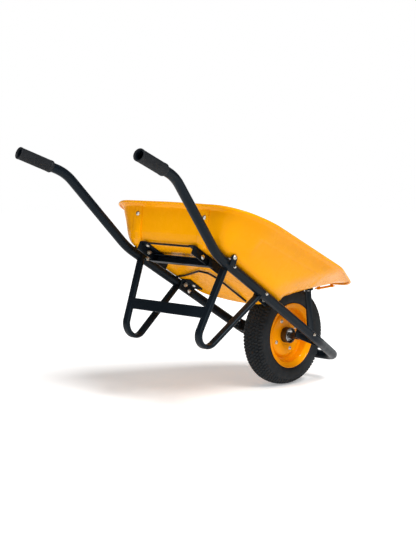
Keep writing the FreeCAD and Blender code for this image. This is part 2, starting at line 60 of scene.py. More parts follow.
class Paint:
    """A node material that is built step by step round one Principled shader."""

    def __init__(self, name, **inputs):
        self.mat = bpy.data.materials.new(name)
        self.mat.use_nodes = True
        self.nodes = self.mat.node_tree.nodes
        self.links = self.mat.node_tree.links
        self.shader = self.nodes["Principled BSDF"]
        self.coords = self.nodes.new("ShaderNodeTexCoord").outputs["Object"]
        self.normal = None
        for key, value in inputs.items():
            self.shader.inputs[key.replace("_", " ")].default_value = value

    def noise(self, scale, detail=3.0, rough=0.55, stretch=None, distort=0.0):
        node = self.nodes.new("ShaderNodeTexNoise")
        node.inputs["Scale"].default_value = scale
        node.inputs["Detail"].default_value = detail
        node.inputs["Roughness"].default_value = rough
        node.inputs["Distortion"].default_value = distort
        if stretch:
            mapping = self.nodes.new("ShaderNodeMapping")
            mapping.inputs["Scale"].default_value = stretch
            self.links.new(self.coords, mapping.inputs["Vector"])
            self.links.new(mapping.outputs["Vector"], node.inputs["Vector"])
        else:
            self.links.new(self.coords, node.inputs["Vector"])
        return node.outputs["Fac"]

    def remap(self, value, low, high, to_low=0.0, to_high=1.0):
        node = self.nodes.new("ShaderNodeMapRange")
        node.interpolation_type = "SMOOTHSTEP"
        node.inputs["From Min"].default_value = low
        node.inputs["From Max"].default_value = high
        node.inputs["To Min"].default_value = to_low
        node.inputs["To Max"].default_value = to_high
        self.links.new(value, node.inputs["Value"])
        return node.outputs["Result"]

    def product(self, a, b):
        node = self.nodes.new("ShaderNodeMath")
        node.operation = "MULTIPLY"
        self.links.new(a, node.inputs[0])
        self.links.new(b, node.inputs[1])
        return node.outputs["Value"]

    def facing_up(self):
        node = self.nodes.new("ShaderNodeSeparateXYZ")
        self.links.new(self.nodes.new("ShaderNodeNewGeometry").outputs["Normal"], node.inputs["Vector"])
        return node.outputs["Z"]

    def mix(self, factor, a, b):
        node = self.nodes.new("ShaderNodeMix")
        node.data_type = "RGBA"
        self.links.new(factor, node.inputs["Factor"])
        for socket, value in ((node.inputs["A"], a), (node.inputs["B"], b)):
            if isinstance(value, tuple):
                socket.default_value = (*value, 1.0)
            else:
                self.links.new(value, socket)
        return node.outputs["Result"]

    def colour(self, value):
        self.links.new(value, self.shader.inputs["Base Color"])

    def roughness(self, value):
        self.links.new(value, self.shader.inputs["Roughness"])

    def bump(self, height, depth_mm, strength=1.0):
        node = self.nodes.new("ShaderNodeBump")
        node.inputs["Strength"].default_value = strength
        node.inputs["Distance"].default_value = depth_mm * MM
        self.links.new(height, node.inputs["Height"])
        if self.normal:
            self.links.new(self.normal, node.inputs["Normal"])
        self.normal = node.outputs["Normal"]
        self.links.new(self.normal, self.shader.inputs["Normal"])


def enamel(name, base, deep, pale, dust, rough, coat, sheen):
    """Sprayed enamel: cloudy colour, orange peel, fine scratches and a little dust."""
    paint = Paint(name, Coat_Weight=coat, Coat_Roughness=0.06, Specular_IOR_Level=0.12,
                  Specular_Tint=(*sheen, 1.0), Coat_Tint=(*sheen, 1.0))
    clouds = paint.remap(paint.noise(2.6, 4.0), 0.32, 0.68)
    body = paint.mix(clouds, deep, base)
    mottle = paint.remap(paint.noise(17.0, 5.0), 0.54, 0.78, 0.0, 0.16)
    body = paint.mix(mottle, body, pale)
    scratches = paint.remap(paint.noise(60.0, 6.0, 0.75, stretch=(0.12, 1.0, 1.6)), 0.72, 0.78, 0.0, 0.6)
    patches = paint.remap(paint.noise(4.3, 2.0), 0.52, 0.66)
    marks = paint.product(scratches, patches)
    body = paint.mix(marks, body, pale)
    settled = paint.product(paint.remap(paint.facing_up(), 0.35, 0.95, 0.0, 0.12),
                            paint.remap(paint.noise(9.0, 6.0, 0.7), 0.42, 0.72))
    paint.colour(paint.mix(settled, body, dust))
    paint.roughness(paint.remap(paint.noise(31.0, 5.0), 0.3, 0.75, rough, rough + 0.13))
    paint.bump(paint.noise(420.0, 2.0), 0.03, 0.10)
    paint.bump(marks, -0.02, 0.15)
    return paint.mat


def plating(name, base, dull, rough, grain):
    paint = Paint(name, Metallic=1.0)
    blotches = paint.remap(paint.noise(55.0, 5.0, 0.65), 0.36, 0.70)
    body = paint.mix(blotches, base, dull)
    paint.colour(body)
    paint.roughness(paint.remap(paint.noise(210.0, 4.0), 0.3, 0.7, rough, rough + 0.18))
    paint.bump(paint.noise(grain, 3.0, stretch=(1.0, 0.25, 1.0)), 0.04, 0.3)
    return paint.mat


def moulded(name, base, worn, rough, grain, depth):
    """Rubber or plastic: fine grain, bloom and specks of dust."""
    paint = Paint(name, Specular_IOR_Level=0.25)
    bloom = paint.remap(paint.noise(14.0, 5.0, 0.62), 0.38, 0.74, 0.0, 0.55)
    body = paint.mix(bloom, base, worn)
    specks = paint.remap(paint.noise(190.0, 4.0, 0.7), 0.62, 0.74, 0.0, 0.5)
    body = paint.mix(specks, body, worn)
    paint.colour(body)
    paint.roughness(paint.remap(paint.noise(46.0, 4.0), 0.3, 0.7, rough, rough + 0.16))
    paint.bump(paint.noise(grain, 4.0, 0.6), depth, 0.5)
    return paint.mat


MATERIALS = {
    "tub_paint": enamel("tub_enamel", (0.94, 0.405, 0.0010), (0.90, 0.37, 0.0010), (0.95, 0.44, 0.003),
                        (0.86, 0.42, 0.02), 0.22, 0.09, (1.0, 0.55, 0.10)),
    "frame_paint": enamel("frame_enamel", (0.0055, 0.0085, 0.0125), (0.0042, 0.0065, 0.0095),
                          (0.011, 0.015, 0.020), (0.022, 0.025, 0.028), 0.30, 0.02, (0.70, 0.88, 1.0)),
    "rim_paint": enamel("rim_enamel", (0.93, 0.36, 0.0010), (0.87, 0.31, 0.0010), (0.95, 0.40, 0.003),
                        (0.76, 0.36, 0.02), 0.26, 0.09, (1.0, 0.55, 0.10)),
    "grip_rubber": moulded("grip_rubber", (0.0065, 0.0080, 0.0105), (0.016, 0.018, 0.021), 0.52, 900.0, 0.08),
    "tyre_rubber": moulded("tyre_rubber", (0.0075, 0.0100, 0.0125), (0.017, 0.021, 0.024), 0.60, 700.0, 0.12),
    "tube_rubber": moulded("tube_rubber", (0.015, 0.015, 0.015), (0.03, 0.03, 0.03), 0.6, 800.0, 0.08),
    "cap_plastic": moulded("cap_plastic", (0.012, 0.012, 0.013), (0.03, 0.03, 0.03), 0.45, 900.0, 0.04),
    "zinc": plating("zinc_plate", (0.66, 0.65, 0.62), (0.46, 0.43, 0.36), 0.24, 260.0),
    "bearing_steel": plating("bearing_steel", (0.62, 0.62, 0.62), (0.42, 0.41, 0.40), 0.18, 500.0),
    "dark_steel": plating("dark_steel", (0.10, 0.10, 0.10), (0.055, 0.05, 0.045), 0.34, 300.0),
}

slot_of = {entry["node"]: entry["material_slot"] for entry in frame["record"]["subparts"]}
bodies = frame["record"]["behaviour"]["bodies"]
body_name = {node: body for body, members in bodies.items() for node in members}

for node, obj in frame["nodes"].items():
    obj.data.materials.clear()
    obj.data.materials.append(MATERIALS[slot_of[node]])


# ---------------------------------------------------------------- mesh tools


def piece(name, verts, faces, node, material=None, smooth=True):
    """A new piece that stands for a CAD node: it is parented to the node's body and takes the material of the
    node's slot.
    """
    mesh = bpy.data.meshes.new(name)
    mesh.from_pydata([tuple(v) for v in verts], [], [tuple(f) for f in faces])
    mesh.update()
    obj = bpy.data.objects.new(name, mesh)
    bpy.context.scene.collection.objects.link(obj)
    mesh.materials.append(material or MATERIALS[slot_of[node]])
    if smooth:
        mesh.polygons.foreach_set("use_smooth", [True] * len(mesh.polygons))
    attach(obj, body_name[node])
    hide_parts(node)
    return obj


def sharpen(obj, degrees):
    """Edges that turn more than this stay crisp."""
    bm = bmesh.new()
    bm.from_mesh(obj.data)
    for edge in bm.edges:
        if len(edge.link_faces) == 2 and edge.calc_face_angle(0) > math.radians(degrees):
            edge.smooth = False
    bm.to_mesh(obj.data)
    bm.free()
    return obj


def apply_modifiers(obj):
    graph = bpy.context.evaluated_depsgraph_get()
    mesh = bpy.data.meshes.new_from_object(obj.evaluated_get(graph))
    old = obj.data
    obj.modifiers.clear()
    obj.data = mesh
    bpy.data.meshes.remove(old)
    return obj


def grid_faces(rows, columns, wrap_rows=False, wrap_columns=True, start=0):
    faces = []
    for i in range(rows if wrap_rows else rows - 1):
        for j in range(columns if wrap_columns else columns - 1):
            a = start + i * columns + j
            b = start + i * columns + (j + 1) % columns
            c = start + ((i + 1) % rows) * columns + (j + 1) % columns
            d = start + ((i + 1) % rows) * columns + j
            faces.append((a, b, c, d))
    return faces


def outward(obj):
    bm = bmesh.new()
    bm.from_mesh(obj.data)
    bmesh.ops.recalc_face_normals(bm, faces=bm.faces)
    bm.to_mesh(obj.data)
    bm.free()
    return obj


def fillet(points, radii, closed=False, step=0.12, runs=1):
    """Straight runs joined by tangent arcs, as a line of points."""
    count = len(points)
    path = []
    for i in range(count):
        corner = Vector(points[i])
        if not closed and i in (0, count - 1):
            path.append([corner])
            continue
        back = (Vector(points[i - 1]) - corner).normalized()
        ahead = (Vector(points[(i + 1) % count]) - corner).normalized()
        half = back.angle(ahead) / 2
        reach = radii[i] / math.tan(half)
        bisector = (back + ahead).normalized()
        centre = corner + bisector * (radii[i] / math.sin(half))
        steps = max(3, int((math.pi - 2 * half) / step))
        start = corner + back * reach - centre
        sweep = math.pi - 2 * half
        axis = start.cross(corner + ahead * reach - centre).normalized()
        path.append([centre + Matrix.Rotation(sweep * k / steps, 3, axis) @ start for k in range(steps + 1)])
    line = []
    total = count if closed else count - 1
    for i in range(total):
        line += path[i]
        a, b = path[i][-1], path[(i + 1) % count][0]
        line += [a.lerp(b, k / runs) for k in range(1, runs)]
    if not closed:
        line += path[-1]
    return line


def sweep(line, section, up=None, closed=False):
    """Rows of a profile carried along a line; up keeps the profile from rolling."""
    count = len(line)
    rows = []
    side = None
    for i, point in enumerate(line):
        before = line[i - 1] if closed or i else point
        after = line[(i + 1) % count] if closed or i < count - 1 else point
        tangent = (after - before).normalized()
        reference = up if up is not None else (side if side is not None else tangent.orthogonal())
        side = (reference - tangent * reference.dot(tangent)).normalized()
        other = tangent.cross(side)
        rows.append([point + side * u + other * v for u, v in section])
    return rows


def circle(radius, count=36):
    return [(radius * math.cos(2 * math.pi * k / count), radius * math.sin(2 * math.pi * k / count))
            for k in range(count)]


def tube(name, line, section, node, up=None, caps=True, closed=False, material=None):
    rows = sweep(line, section, up, closed)
    columns = len(section)
    verts = [v for row in rows for v in row]
    faces = grid_faces(len(rows), columns, wrap_rows=closed)
    if caps and not closed:
        faces.append(tuple(reversed(range(columns))))
        faces.append(tuple(range((len(rows) - 1) * columns, len(rows) * columns)))
    return outward(piece(name, verts, faces, node, material))


def lathe(profile, origin, axis, segments, shape=None, closed=True):
    """Verts and faces of (radius, offset) turned about an axis; shape may change the radius."""
    axis = axis.normalized()
    side = axis.orthogonal().normalized()
    other = axis.cross(side)
    verts = []
    for radius, offset in profile:
        for k in range(segments):
            angle = 2 * math.pi * k / segments
            r = shape(radius, offset, angle) if shape else radius
            verts.append(origin + axis * offset + (side * math.cos(angle) + other * math.sin(angle)) * r)
    faces = grid_faces(len(profile), segments, wrap_rows=closed)
    if not closed:
        faces.append(tuple(reversed(range(segments))))
        faces.append(tuple(range((len(profile) - 1) * segments, len(profile) * segments)))
    return verts, faces


def rounded_profile(points, radii, closed=True):
    flat = fillet([Vector((r, o, 0)) for r, o in points], radii, closed=closed, step=0.3)
    return [(p.x, p.y) for p in flat]


def join_sets(sets):
    verts, faces = [], []
    for more_verts, more_faces in sets:
        shift = len(verts)
        verts += more_verts
        faces += [tuple(i + shift for i in face) for face in more_faces]
    return verts, faces


def worked(node, width_mm=0.8, crisp=35):
    """The CAD node's own shape with its edges broken, as a pressed or sawn part has."""
    source = frame["nodes"][node]
    mesh = source.data.copy()
    bm = bmesh.new()
    bm.from_mesh(mesh)
    bmesh.ops.remove_doubles(bm, verts=bm.verts, dist=0.01 * MM)
    bmesh.ops.dissolve_limit(bm, angle_limit=math.radians(1.0), verts=bm.verts, edges=bm.edges)
    bm.to_mesh(mesh)
    bm.free()
    obj = bpy.data.objects.new(node + "_worked", mesh)
    bpy.context.scene.collection.objects.link(obj)
    bevel = obj.modifiers.new("edges", "BEVEL")
    bevel.width = width_mm * MM
    bevel.segments = 2
    bevel.limit_method = "ANGLE"
    bevel.angle_limit = math.radians(crisp)
    bevel.harden_normals = True
    mesh.polygons.foreach_set("use_smooth", [True] * len(mesh.polygons))
    apply_modifiers(obj)
    obj.data.materials.clear()
    obj.data.materials.append(MATERIALS[slot_of[node]])
    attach(obj, body_name[node])
    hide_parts(node)
    return sharpen(obj, crisp)


# ---------------------------------------------------------------- frame tube

TUBE_RADIUS = 16 * MM
TUBE_WALL = 2 * MM
tube_half = [
    P(-1134, 283, 447),
    P(-956, 257.5, 446),
    P(-649, 213.6, 290),
    P(-12, 175, 173),
    P(214, 88, 162.4),
]
tube_points = tube_half + [Vector((p.x, -p.y, p.z)) for p in reversed(tube_half)]
tube_radii = [r * MM for r in (0, 150, 220, 200, 67, 67, 200, 220, 150, 0)]
tube_line = fillet(tube_points, tube_radii, step=0.06, runs=6)


def hollow(line, radius, wall, node, name, count=48):
    outer = sweep(line, circle(radius, count))
    inner = sweep(line, circle(radius - wall, count))
    rows = outer + list(reversed(inner))
    verts = [v for row in rows for v in row]
    return outward(piece(name, verts, grid_faces(len(rows), count, wrap_rows=True), node))


sharpen(hollow(tube_line, TUBE_RADIUS, TUBE_WALL, "frame_tube", "main_tube"), 50)

# ---------------------------------------------------------------- legs


def stadium(width, thickness, steps=10):
    """A flattened tube's section: two half circles joined by straight sides."""
    half = thickness / 2
    flat = width / 2 - half
    ring = []
    for centre, start in ((flat, 0.0), (-flat, math.pi)):
        for k in range(steps + 1):
            angle = start + math.pi * k / steps
            ring.append((centre + half * math.sin(angle), half * math.cos(angle)))
    return ring


def leg_side(z):
    return 168 + 0.115 * z


LEG_WIDTH = 30 * MM
LEG_THICKNESS = 15 * MM
LEG_BEND = 42 * MM
LEG_PLAN = [(-586, 290), (-600, 8.4), (-534, 8.4), (-380.9, 250)]
for side_name, side in SIDES:
    points = [P(x, side * leg_side(z), z) for x, z in LEG_PLAN]
    line = fillet(points, [0, LEG_BEND, LEG_BEND, 0], step=0.08, runs=6)
    section = stadium(LEG_WIDTH, LEG_THICKNESS)
    tube("bent_leg_" + side_name, line, section, "leg_" + side_name, up=Vector((0, 1, 0)))

# ---------------------------------------------------------------- grips

GRIP_SEGMENTS = 240
GRIP_RIBS = 40
RIB_HEIGHT = 0.55
RIBS_FROM, RIBS_TO = 8, 117
GRIP_OVERHANG = 6
GRIP_OUTLINE = [
    (16.05, 0.8), (16.8, 0), (19.6, 0), (20.5, 1.5), (20.5, 6), (19.6, 7.4), (19.4, 8.4), (19.4, 60),
    (19.4, 116.6), (19.6, 117.8), (20.5, 119.4), (20.5, 126), (19.4, 128), (16.6, 128), (16.05, 127),
]


def grip_shape(radius, offset, angle):
    """Fine ribs round the outside, between the end lip and the collar."""
    along = offset / MM
    if radius > 17.5 * MM and RIBS_FROM < along < RIBS_TO:
        radius += RIB_HEIGHT * MM * (abs(math.sin(angle * GRIP_RIBS / 2)) ** 0.7 * 2 - 1)
    return radius


for side_name, side in SIDES:
    direction = tube_half[1] - tube_half[0]
    start = Vector(tube_half[0])
    direction.y *= side
    start.y *= side
    direction.normalize()
    start -= direction * GRIP_OVERHANG * MM
    profile = [(r * MM, o * MM) for r, o in GRIP_OUTLINE]
    verts, faces = lathe(profile, start, direction, GRIP_SEGMENTS, grip_shape)
    outward(piece("ribbed_grip_" + side_name, verts, faces, "grip_" + side_name))

# ---------------------------------------------------------------- pan

PLANS = {
    "floor": [(-654, 0), (-652, 206), (-540, 207), (-345, 194), (-272, 176), (-214, 0)],
    "fold": [(-670, 0), (-668, 224), (-540, 226), (-345, 212), (-264, 186), (-203, 0)],
    "foot": [(-680, 0), (-678, 234), (-540, 236), (-345, 222), (-258, 194), (-196, 0)],
    "arch": [(-689, 0), (-685, 252), (-544, 269), (-218, 222), (-95, 156), (-122, 0)],
    "top": [(-700, 0), (-693, 274), (-548, 309), (-62, 222), (112, 110), (116, 0)],
    "rim": [(-718, 0), (-710, 292), (-556, 330), (-60, 243), (162, 126), (173, 0)],
}
RADII = {
    "floor": [900, 45, 300, 80, 40, 300],
    "fold": [900, 55, 300, 100, 50, 300],
    "foot": [900, 60, 300, 200, 60, 300],
    "arch": [900, 78, 270, 220, 70, 260],
    "top": [900, 95, 240, 240, 85, 300],
    "rim": [900, 122, 260, 260, 110, 400],
}
RAIL_SLOPE = 0.1837
FLARE_HEIGHT = 13
FLOOR_PRESS = 3.0
SHEET = 2.0
BEAD_RADIUS = 4.2
BEAD_DROP = 3.4
BEAD_INSET = 2.4
STEP_FROM, STEP_TO = -542, -105
STEP_FADE = 22
STEP_DEPTH = 4.2
STEP_LEVEL = 384
STEP_FALL = 6


def pan_floor(x):
    """Height of the underside of the floor, which lies on the two rails."""
    lean = math.sqrt(1 + RAIL_SLOPE ** 2)
    return 290 + 16 * lean - RAIL_SLOPE * (x + 649) + 0.3


def rim_level(x):
    return 431 - 0.01 * x


def arch_level(x):
    """The level at which the front wall bends to pass over the tyre."""
    return 332 - 0.0836 * (x + 122)


LEVELS = {
    "floor": lambda x: pan_floor(x),
    "fold": lambda x: pan_floor(x) + 10,
    "foot": lambda x: pan_floor(x) + 30,
    "arch": arch_level,
    "top": lambda x: rim_level(x) - FLARE_HEIGHT,
    "rim": rim_level,
}
ARC_STEPS = 12
RUN_STEPS = 14


def outline(kind):
    """The closed outline of one level, with the same count of points at every level."""
    half = PLANS[kind]
    plan = [Vector((x, y, 0)) for x, y in half] + [Vector((x, -y, 0)) for x, y in reversed(half[1:-1])]
    radii = RADII[kind] + RADII[kind][-2:0:-1]
    count = len(plan)
    arcs = []
    for i in range(count):
        corner = plan[i]
        back = (plan[i - 1] - corner).normalized()
        ahead = (plan[(i + 1) % count] - corner).normalized()
        half_angle = back.angle(ahead) / 2
        reach = radii[i] / math.tan(half_angle)
        bisector = (back + ahead).normalized()
        centre = corner + bisector * (radii[i] / math.sin(half_angle))
        first = corner + back * reach - centre
        last = corner + ahead * reach - centre
        turn = first.xy.angle_signed(last.xy)
        arcs.append([centre + Matrix.Rotation(-turn * k / ARC_STEPS, 3, "Z") @ first
                     for k in range(ARC_STEPS + 1)])
    ring = []
    for i in range(count):
        ring += arcs[i]
        a, b = arcs[i][-1], arcs[(i + 1) % count][0]
        ring += [a.lerp(b, k / RUN_STEPS) for k in range(1, RUN_STEPS)]
    level = LEVELS[kind]
    return [Vector((p.x, p.y, level(p.x))) for p in ring]


def smoothstep(value, low, high):
    t = min(1.0, max(0.0, (value - low) / (high - low)))
    return t * t * (3 - 2 * t)


def chaikin(points, rounds):
    """The line with its corners cut, so that it runs smoothly."""
    for _ in range(rounds):
        cut = [points[0]]
        for a, b in zip(points, points[1:]):
            cut += [a.lerp(b, 0.25), a.lerp(b, 0.75)]
        cut.append(points[-1])
        points = cut
    return points


rings = {kind: outline(kind) for kind in PLANS}
columns = len(rings["floor"])
floor_middle = Vector((-480, 0, pan_floor(-480)))
up = Vector((0, 0, 1))
profile_columns = []
for j in range(columns):
    floor, fold, foot, arch, top, rim = (rings[kind][j] for kind in PLANS)
    inner = floor.lerp(floor_middle, 0.10)
    wall = [foot.lerp(arch, t) for t in (0.16, 0.33, 0.50, 0.67, 0.84, 0.96)]
    wall += [arch.lerp(top, t) for t in (0.04, 0.16, 0.30, 0.44, 0.58, 0.72, 0.86, 0.95)]
    out = rim - top
    lip = [top + out * share for share in (0.02, 0.18, 0.40, 0.62, 0.82, 1.0)]
    profile_columns.append(chaikin([inner, floor, fold, foot] + wall + lip, 2))
floor_rings = []
for share in (0.03, 0.16, 0.30, 0.44, 0.58, 0.66, 0.72, 0.78, 0.84, 0.90):
    press = FLOOR_PRESS * (1 - smoothstep(share, 0.64, 0.80))
    floor_rings.append([floor_middle.lerp(rings["floor"][j], share) + up * press for j in range(columns)])
wall_rings = [[column[i] for column in profile_columns] for i in range(len(profile_columns[0]))]
rows = floor_rings[:-1] + wall_rings


def stepped(point):
    """The side walls are set in a little below one long pressed line."""
    along = smoothstep(point.x, STEP_FROM, STEP_FROM + STEP_FADE)
    along *= 1 - smoothstep(point.x, STEP_TO - STEP_FADE, STEP_TO)
    beside = smoothstep(abs(point.y), 150, 190)
    line = STEP_LEVEL - STEP_FALL * (point.x - STEP_FROM) / (STEP_TO - STEP_FROM)
    below = 1 - smoothstep(point.z, line - 2, line + 3)
    above_fold = smoothstep(point.z, pan_floor(point.x) + 34, pan_floor(point.x) + 90)
    push = STEP_DEPTH * along * beside * below * above_fold
    return point - Vector((0, math.copysign(push, point.y), 0))


verts = [P(*stepped(p)) for row in rows for p in row]
faces = grid_faces(len(rows), columns)
verts.append(P(*(floor_middle + up * FLOOR_PRESS)))
middle_vertex = len(verts) - 1
faces += [(middle_vertex, (j + 1) % columns, j) for j in range(columns)]
pan = outward(piece("pressed_pan", verts, faces, "pan"))
if pan.data.polygons[len(pan.data.polygons) - 1].normal.z > 0:
    pan.data.flip_normals()
thickness = pan.modifiers.new("sheet", "SOLIDIFY")
thickness.thickness = SHEET * MM
thickness.offset = -1
thickness.use_even_offset = False
apply_modifiers(pan)
bead_line = []
for rim, top in zip(rings["rim"], rings["top"]):
    inward = (top - rim).xy.normalized() * BEAD_INSET
    bead_line.append(P(rim.x + inward.x, rim.y + inward.y, rim.z - BEAD_DROP))
tube("rolled_bead", bead_line, circle(BEAD_RADIUS * MM, 20), "pan", up=up, closed=True)

# ---------------------------------------------------------------- tyre

LUGS = 84
PER_LUG = 10
GROOVE_DEPTH = 4.6
TYRE_OUTLINE = [
    (100, 33), (104, 35.6), (117.6, 40.6), (128, 45.2), (142, 46.6), (157, 45.2), (168, 40), (175, 29),
    (178.8, 14), (180, 0),
]


def smooth_outline(points, spacing):
    """Evenly spaced points on a smooth curve through the half profile."""
    full = points + [(r, -y) for r, y in reversed(points[:-1])]
    curve = [Vector((r, y, 0)) for r, y in full]
    fine = []
    for i in range(len(curve) - 1):
        p0, p1 = curve[max(i - 1, 0)], curve[i]
        p2, p3 = curve[i + 1], curve[min(i + 2, len(curve) - 1)]
        for k in range(24):
            t = k / 24
            fine.append(0.5 * (2 * p1 + (p2 - p0) * t + (2 * p0 - 5 * p1 + 4 * p2 - p3) * t ** 2
                               + (3 * p1 - p0 - 3 * p2 + p3) * t ** 3))
    fine.append(curve[-1])
    lengths = [0.0]
    for a, b in zip(fine, fine[1:]):
        lengths.append(lengths[-1] + (b - a).length)
    count = int(lengths[-1] / spacing)
    evenly = []
    for k in range(count + 1):
        goal = lengths[-1] * k / count
        i = min(int(np.searchsorted(lengths, goal)), len(fine) - 1)
        i = max(i, 1)
        t = (goal - lengths[i - 1]) / max(lengths[i] - lengths[i - 1], 1e-9)
        evenly.append(fine[i - 1].lerp(fine[i], min(1.0, t)))
    middle = lengths[-1] / 2
    return evenly, [lengths[-1] * k / count - middle for k in range(count + 1)]


tyre_curve, tyre_arc = smooth_outline(TYRE_OUTLINE, 1.7)
steps = LUGS * PER_LUG
angles = np.arange(steps) * 2 * math.pi / steps


def edge(distance, width):
    """0 inside a groove of this half width, 1 outside it."""
    return np.clip((distance - width) / 1.1 + 0.5, 0, 1)


def tread(arc, phase):
    """1 on a block and 0 in a groove, for one line round the tyre."""
    zigzag = 1.9 * np.abs(((phase * 2) % 2) - 1) - 0.95
    reach = abs(arc)
    sign = 1 if arc >= 0 else -1
    height = np.ones_like(phase)
    for groove in (8.5, 20.5, 33.0):
        height = np.minimum(height, edge(np.abs(reach - groove + sign * zigzag * 1.3), 1.15))
    row = 0 if reach < 8.5 else 1 if reach < 20.5 else 2 if reach < 33 else 3
    lean = 0.055 * sign * (reach - 8) if row else 0.03 * arc
    local = (phase + (0.5 if row % 2 else 0.0) + (0.25 if sign > 0 else 0.0) + lean * 0.35) % 1.0
    gap = np.abs(local - 0.5) * 13.4
    height = np.minimum(height, 1 - edge(gap, 4.9))
    if row == 3:
        length = np.where((np.floor(phase + (0.5 if row % 2 else 0.0)) % 2) == 0, 54.0, 49.0)
        height = height * np.clip((length - reach) / 2.0, 0, 1)
    return height


profile_points = np.array([(p.x, p.y) for p in tyre_curve])
tangents = np.gradient(profile_points, axis=0)
normals = np.stack([tangents[:, 1], -tangents[:, 0]], axis=1)
normals /= np.linalg.norm(normals, axis=1)[:, None]
if normals[len(normals) // 2][0] < 0:
    normals = -normals
tyre_rows = []
for (radius, offset), (nr, ny), arc in zip(profile_points, normals, tyre_arc):
    reach = abs(arc)
    depth = np.zeros(steps)
    if reach < 58:
        blocks = tread(arc, angles * LUGS / (2 * math.pi))
        floor_depth = GROOVE_DEPTH * (1 - smoothstep(reach, 46, 57))
        depth = (1 - blocks) * floor_depth
    r = radius - nr * depth
    y = offset - ny * depth
    tyre_rows.append(np.stack([np.cos(angles) * r, y, np.sin(angles) * r], axis=1))
inside_half = [(100, 24), (112, 31), (126, 37), (142, 39), (160, 35), (168, 26), (172, 14)]
inside = [(r, -y) for r, y in inside_half] + [(173, 0)] + inside_half[::-1]
for radius, offset in inside:
    level = np.full(steps, float(offset))
    tyre_rows.append(np.stack([np.cos(angles) * radius, level, np.sin(angles) * radius], axis=1))
cloud = np.concatenate(tyre_rows) * MM + np.array(AXLE)
tyre = piece("treaded_tyre", cloud.tolist(), grid_faces(len(tyre_rows), steps, wrap_rows=True), "tyre")
outward(tyre)

# ---------------------------------------------------------------- rims, hub

RIM_OUTLINE = [(28, 12.5), (34, 12.5), (38, 14.0), (70, 14.0), (76, 11.5), (83, 2.5), (97.5, 3.5), (97.5, 33),
               (112, 40), (115, 43.2), (117.2, 42.4), (117, 41), (100, 33.5), (100, 0.1), (83, 0.1), (75, 9),
               (70, 11.4), (38, 11.4), (34, 10), (28, 10)]
RIM_RADII = [0.4, 2, 2, 4, 4, 4, 5, 6, 3, 0.8, 0.5, 3, 3, 2, 2, 3, 3, 2, 2, 0.4]
wheel_axis = Vector((0, 1, 0))
for side_name, side in SIDES:
    profile = [(r * MM, side * o * MM) for r, o in rounded_profile(RIM_OUTLINE, RIM_RADII)]
    verts, faces = lathe(profile, AXLE, wheel_axis, 180)
    sharpen(outward(piece("dished_rim_" + side_name, verts, faces, "rim_" + side_name)), 60)

HUB_HALF = [
    (12, 17.5), (22, 17.5), (22, 31.5), (24.6, 31.5), (24.6, 37.4), (25.4, 38), (27.2, 38), (28, 37.2),
]
HUB_OUTLINE = HUB_HALF + [(r, -y) for r, y in reversed(HUB_HALF)]
verts, faces = lathe([(r * MM, o * MM) for r, o in HUB_OUTLINE], AXLE, wheel_axis, 96)
sharpen(outward(piece("hub_shell", verts, faces, "hub")), 30)

# ---------------------------------------------------------------- fasteners


def clusters(node):
    """The separate solids of a CAD node, as lists of points."""
    bm = bmesh.new()
    bm.from_mesh(frame["nodes"][node].data)
    bmesh.ops.remove_doubles(bm, verts=bm.verts, dist=0.01 * MM)
    seen = set()
    groups = []
    for vertex in bm.verts:
        if vertex.index in seen:
            continue
        stack, found = [vertex], []
        seen.add(vertex.index)
        while stack:
            current = stack.pop()
            found.append(current.co.copy())
            for link in current.link_edges:
                other = link.other_vert(current)
                if other.index not in seen:
                    seen.add(other.index)
                    stack.append(other)
        groups.append(found)
    bm.free()
    return groups


SHANK_RADIUS = 4 * MM
HEAD_RADIUS = 8 * MM
HEAD_HEIGHT = 5 * MM
WASHER_RADIUS = 7.9 * MM
WASHER_HEIGHT = 1 * MM
NUT_TOP = 6.5 * MM
NUT_APOTHEM = 6.4 * MM
SHANK_PAST_NUT_SEAT = 8 * MM
THREAD_PITCH = 0.8 * MM
THREAD_ROOT = 3.6 * MM
THREAD_TIP = 3.3 * MM
THREAD_TIP_LENGTH = 0.5 * MM
HEAD_PROFILE = [(0.05, -5.0), (2.2, -4.9), (4.2, -4.3), (5.9, -3.2), (7.0, -1.9), (7.5, -0.9), (8.0, -0.7),
                (8.0, 0.0), (4.0, 0.0)]


def hex_radius(across, angle):
    return across / math.cos((angle + math.pi / 6) % (math.pi / 3) - math.pi / 6)


def bolt_set(origin, axis, nut_start, end, head_share):
    """A domed head, a nut with a washer and the threaded end of the shank."""
    head = [(max(4.0, r * head_share) * MM if r > 4.1 else r * MM, o * MM) for r, o in HEAD_PROFILE]
    sets = [lathe(head, origin, axis, 40, closed=False)]
    sets.append(lathe([(SHANK_RADIUS, 0), (SHANK_RADIUS, nut_start)], origin, axis, 24, closed=False))
    low, high = nut_start + WASHER_HEIGHT, nut_start + NUT_TOP
    washer = [(SHANK_RADIUS, nut_start), (WASHER_RADIUS, nut_start),
              (WASHER_RADIUS, low), (SHANK_RADIUS, low)]
    sets.append(lathe(washer, origin, axis, 40))

    def nut_shape(radius, offset, angle):
        """Flats and corners outside, chamfered at both ends; the bore stays round."""
        full = hex_radius(NUT_APOTHEM, angle)
        near = min(offset - low, high - offset) / MM
        return min(full, NUT_APOTHEM * (1.03 + 0.075 * near)) if radius > 4.1 * MM else radius

    levels = [low, low + 0.6 * MM, low + 1.3 * MM, high - 1.3 * MM, high - 0.6 * MM, high]
    nut = [(SHANK_RADIUS, low)] + [(7 * MM, level) for level in levels] + [(SHANK_RADIUS, high)]
    sets.append(lathe(nut, origin, axis, 72, nut_shape))
    thread = []
    offset = high - THREAD_PITCH / 2
    while offset < end - THREAD_TIP_LENGTH:
        thread += [(SHANK_RADIUS, offset), (THREAD_ROOT, offset + THREAD_PITCH / 2)]
        offset += THREAD_PITCH
    thread.append((THREAD_TIP, end))
    sets.append(lathe(thread, origin, axis, 28, closed=False))
    return join_sets(sets)


